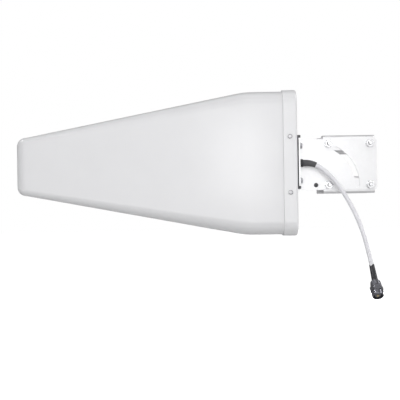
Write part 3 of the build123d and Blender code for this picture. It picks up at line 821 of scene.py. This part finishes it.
def add_hexagon(
    bm: bmesh.types.BMesh, flats: float, low: float, high: float, corner: float, rim: float
) -> None:
    """Add a hexagonal bar along Z with rounded corners and rims.

    Args:
        bm: The bmesh that takes it.
        flats: Distance across flats, in millimetres.
        low: Lower end, in millimetres.
        high: Upper end, in millimetres.
        corner: How far each upright corner is rounded, in millimetres.
        rim: How far the rims of both ends are rounded, in millimetres.
    """
    made = bmesh.new()
    corner_steps, rim_steps, sharp_radians, level_within = 5, 2, 0.9, 1e-6
    radius = flats / 2 / math.cos(math.pi / 6) * MM
    bmesh.ops.create_cone(
        made, cap_ends=True, segments=6, radius1=radius, radius2=radius, depth=(high - low) * MM,
        matrix=Matrix.Translation((0.0, 0.0, (low + high) / 2 * MM)),
    )
    for level, size, steps in ((False, corner, corner_steps), (True, rim, rim_steps)):
        edges = []
        for edge in made.edges:
            rise = abs(edge.verts[0].co.z - edge.verts[1].co.z)
            if (rise < level_within) == level and edge.calc_face_angle(0.0) > sharp_radians:
                edges.append(edge)
        round_edges(made, edges, size, steps)
    merge_into(bm, made)


def add_turned(
    bm: bmesh.types.BMesh, profile: tuple[tuple[float, float], ...], steps: int = 48
) -> None:
    """Add a shape turned about Z from its profile, which starts and ends on the axis.

    Args:
        bm: The bmesh that takes it.
        profile: Radius and height of each corner, in millimetres.
        steps: Steps of a full turn.
    """
    made = bmesh.new()
    merge_mm = 0.001
    verts = [made.verts.new(vec(radius, 0.0, height)) for radius, height in profile]
    edges = [made.edges.new(pair) for pair in zip(verts, verts[1:])]
    bmesh.ops.spin(
        made, geom=verts + edges, cent=(0.0, 0.0, 0.0), axis=(0.0, 0.0, 1.0), dvec=(0.0, 0.0, 0.0),
        angle=2 * math.pi, steps=steps, use_merge=True, use_duplicate=False,
    )
    bmesh.ops.remove_doubles(made, verts=made.verts, dist=merge_mm * MM)
    bmesh.ops.recalc_face_normals(made, faces=made.faces)
    merge_into(bm, made)


def merge_into(bm: bmesh.types.BMesh, made: bmesh.types.BMesh) -> None:
    """Move one bmesh's whole content into another and free it."""
    spare = bpy.data.meshes.new("spare")
    made.to_mesh(spare)
    made.free()
    bm.from_mesh(spare)
    bpy.data.meshes.remove(spare)


@dataclass(frozen=True)
class Jack:
    """The threaded coaxial jack's turned body, with a hexagon and an open socket.

    Args:
        back: Middle of its rear end, in millimetres.
        line: The direction that it points in.
        collar: Radius and height of each corner behind the barrel, in millimetres.
        hexagon: Its flats, lower end, upper end, corner round and rim round, in millimetres.
        barrel: Its diameter, lower end and upper end, in millimetres.
        pitch: The thread's pitch, in millimetres.
        depth: The thread's depth, in millimetres.
        past_end: How far the last ridge may pass the barrel's end, in millimetres.
        crest: Where a ridge's crest starts and ends, as shares of the pitch.
        socket: Radius and height of each corner round the socket, in millimetres.
        flat_degrees: The turn about its axis that brings a flat to the front.
        smooth_degrees: Edges that bend more than this stay sharp.
    """

    back: tuple[float, float, float] = (19.0, -122.0, -164.2)
    line: tuple[float, float, float] = (0.9, -31.0, -34.4)
    collar: tuple[tuple[float, float], ...] = (
        (0.0, 0.0), (6.1, 0.0), (6.6, 0.2), (6.9, 0.8), (7.7, 7.0), (7.6, 7.6), (7.2, 7.9),
        (7.0, 8.1), (7.0, 16.8),
    )
    hexagon: tuple[float, float, float, float, float] = (16.0, 8.7, 16.8, 0.5, 0.5)
    barrel: tuple[float, float, float] = (15.8, 17.3, 23.5)
    pitch: float = 1.03
    depth: float = 0.22
    past_end: float = 0.1
    crest: tuple[float, float] = (0.14, 0.86)
    socket: tuple[tuple[float, float], ...] = (
        (7.6, 23.7), (7.2, 24.0), (6.6, 24.0), (6.3, 23.7), (6.3, 17.0), (4.7, 17.0), (4.7, 14.4),
        (0.0, 14.4),
    )
    flat_degrees: float = 30.0
    smooth_degrees: float = 40.0

    def profile(self) -> tuple[tuple[float, float], ...]:
        """The whole turned profile, with the thread's ridges round the barrel."""
        outer_d, height, end = self.barrel
        radius = outer_d / 2
        ridges = [(radius - self.depth, height - self.depth)]
        while height + self.pitch <= end + self.past_end:
            ridges.append((radius - self.depth, height))
            ridges += [(radius, height + share * self.pitch) for share in self.crest]
            height += self.pitch
        return self.collar + tuple(ridges) + self.socket

    def build(self, shop: Workshop) -> bpy.types.Object:
        """Turn the body along Z, add the hexagon and set both on the cable's end.

        Args:
            shop: The frame and the finishes.

        Returns:
            The jack's body.
        """
        bm = bmesh.new()
        add_hexagon(bm, *self.hexagon)
        add_turned(bm, self.profile())
        along = Vector(self.line).normalized()
        towards = Vector((0.0, -1.0, 0.0))
        front = (towards - along * towards.dot(along)).normalized()
        side = front.cross(along)
        turn = Matrix((side, front, along)).transposed().to_4x4()
        flat_to_front = Matrix.Rotation(math.radians(self.flat_degrees), 4, "Z")
        place = Matrix.Translation(vec(*self.back)) @ turn @ flat_to_front
        bmesh.ops.transform(bm, matrix=place, verts=bm.verts)
        piece = new_piece("jack_body_turned", bm, self.smooth_degrees, even=True)
        return shop.hand_over(piece, "jack_body")


@dataclass(frozen=True)
class HoleShadePlug:
    """A push-in rubber plug that closes the bracket's pivot hole, flush with the sheet; its black is
    painted shade, standing in for the dark seen in the hole.

    Args:
        middle: The hole's place along X and Z, in millimetres.
        sheet: The sheet's thickness, in millimetres.
        profile: Radius of each corner and its height over the sheet's face, in millimetres.
        steps: Steps of a full turn.
        smooth_degrees: Edges that bend more than this stay sharp.
    """

    middle: tuple[float, float] = (-48.5, -30.0)
    sheet: float = 2.0
    profile: tuple[tuple[float, float], ...] = (
        (0.0, -1.9), (2.9, -1.9), (3.2, -1.6), (3.2, -0.35), (3.0, -0.2), (2.2, -0.12), (0.0, -0.1),
    )
    steps: int = 36
    smooth_degrees: float = 40.0

    def build(self, shop: Workshop) -> bpy.types.Object:
        """Turn the plug and set it in the hole, facing the front.

        Args:
            shop: The frame and the finishes.

        Returns:
            The plug.
        """
        bm = bmesh.new()
        add_turned(bm, self.profile, self.steps)
        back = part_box("tilt_bracket")[1].y
        turn = Matrix.Rotation(math.radians(90.0), 4, "X")
        x, z = self.middle
        place = Matrix.Translation((x * MM, back - self.sheet * MM, z * MM)) @ turn
        bmesh.ops.transform(bm, matrix=place, verts=bm.verts)
        plug = new_piece("pivot_hole_shade_plug", bm, self.smooth_degrees)
        # The plug takes the gasket's black rubber as painted shade in the pivot hole.
        return shop.hand_over(plug, like="flange_gasket")


@dataclass
class ClampBolts:
    """The four long bolts of the clamp, fully threaded.

    Args:
        outer_d: The thread's diameter, in millimetres.
        pitch: The thread's pitch, in millimetres.
        depth: The thread's depth, in millimetres.
        lead_in: Height of the cone at each end of the thread, in millimetres.
        into_head: How far the thread reaches into the head, in millimetres.
        flats: The head's distance across flats, in millimetres.
        head_h: The head's height, in millimetres.
        head_corner: How far its upright corners are rounded, in millimetres.
        head_rim: How far its rims are rounded, in millimetres.
        smooth_degrees: Edges that bend more than this stay sharp.
    """

    outer_d: float = 6.0
    pitch: float = 1.0
    depth: float = 0.6
    lead_in: float = 0.7
    into_head: float = 0.2
    flats: float = 10.0
    head_h: float = 4.0
    head_corner: float = 0.25
    head_rim: float = 0.5
    smooth_degrees: float = 28.0

    def build(self, shop: Workshop) -> bpy.types.Object:
        """Make one bolt and set four of them.

        Args:
            shop: The frame and the finishes.

        Returns:
            The group of bolts.
        """
        low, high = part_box("clamp_bolts")
        near, far = low.y / MM, high.y / MM
        seat = far - self.head_h
        bolt = bmesh.new()
        thread = Thread(self.outer_d, self.pitch, self.depth, near, seat + self.into_head)
        thread.cut(bolt, self.lead_in)
        add_hexagon(bolt, self.flats, seat, far, self.head_corner, self.head_rim)
        turn = Matrix.Rotation(math.radians(-90.0), 4, "X")
        bmesh.ops.transform(bolt, matrix=turn, verts=bolt.verts)
        spare = bpy.data.meshes.new("bolt")
        bolt.to_mesh(spare)
        bolt.free()
        reach = self.flats / math.cos(math.pi / 6) / 2 * MM
        bolts = bmesh.new()
        for x in (low.x + reach, high.x - reach):
            for z in (low.z + self.flats / 2 * MM, high.z - self.flats / 2 * MM):
                before = set(bolts.verts)
                bolts.from_mesh(spare)
                fresh = [vert for vert in bolts.verts if vert not in before]
                bmesh.ops.translate(bolts, vec=(x, 0.0, z), verts=fresh)
        bpy.data.meshes.remove(spare)
        piece = new_piece("clamp_bolts_threaded", bolts, self.smooth_degrees)
        return shop.hand_over(piece, "clamp_bolts")


# Assembly


@dataclass
class Antenna:
    """Everything that scene.py adds to the frame, in order."""

    on_cable: tuple[str, ...] = ("jack_boot", "jack_insulator", "jack_contact")
    softened: tuple[Softened, ...] = (
        Softened("tilt_bracket", 0.25),
        Softened("near_jaw_upper", 0.25),
        Softened("near_jaw_lower", 0.25),
        Softened("far_jaw_upper", 0.25),
        Softened("far_jaw_lower", 0.25),
        Softened("flange_gasket", 0.3),
        Softened("rear_cap", 0.4),
        Softened("radome_shell", 0.2),
        Softened("clamp_nuts", 0.2),
        Softened("clamp_washers", 0.2),
        Softened("clamp_spring_washers", 0.15),
        Softened("flange_bolts", 0.2),
        Softened("flange_washers", 0.15),
        Softened("cap_screws", 0.12),
    )

    def build(self, shop: Workshop) -> None:
        """Make every piece.

        Args:
            shop: The frame and the finishes.
        """
        jack = Jack().build(shop)
        Pigtail().build(shop, [jack] + [shop.nodes[name] for name in self.on_cable])
        for part in self.softened:
            part.build(shop)
        ClampBolts().build(shop)
        HoleShadePlug().build(shop)


def main() -> None:
    """Load the frame, set the stage, build the pieces and dress every node."""
    logging.basicConfig(level=logging.INFO, format="%(name)s: %(message)s")
    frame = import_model()
    Camera().build()
    paint = Paint(frame["record"])
    for name, node in frame["nodes"].items():
        paint.dress_node(node, name)
    shop = Workshop(frame["nodes"], paint)
    Antenna().build(shop)
    Studio().build()
    log.info("%d new pieces on %d nodes", len(shop.made), len(frame["nodes"]))


if __name__ == "__main__":
    main()
